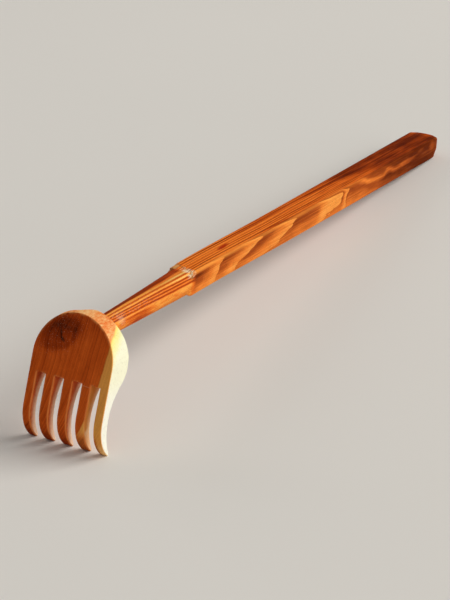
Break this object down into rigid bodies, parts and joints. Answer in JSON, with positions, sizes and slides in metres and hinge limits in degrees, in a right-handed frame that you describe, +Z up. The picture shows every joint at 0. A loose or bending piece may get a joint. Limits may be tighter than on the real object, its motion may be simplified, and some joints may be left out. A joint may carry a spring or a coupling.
{
  "type": "back scratcher",
  "caption": "Wooden back scratcher: a claw head with an arched top and rolled, slotted tines, tenoned onto a long square handle that flares to the butt and narrows to a turned neck.",
  "frame": {"origin": "on the floor under the middle of the box, as the scratcher lies on its tine tips and the lower edge of its butt", "axes": "+X from the claw towards the butt, +Y across the tines, +Z up"},
  "size_m": [0.4614, 0.0482, 0.0702],
  "materials": {
    "handle_wood": "oiled, semi-gloss",
    "head_wood": "oiled, satin, with pale sapwood on one side",
    "glue": "dried wood glue"
  },
  "bodies": {
    "root": {"handle": "handle_wood", "head": "head_wood", "glue_line": "glue"}
  },
  "joints": []
}
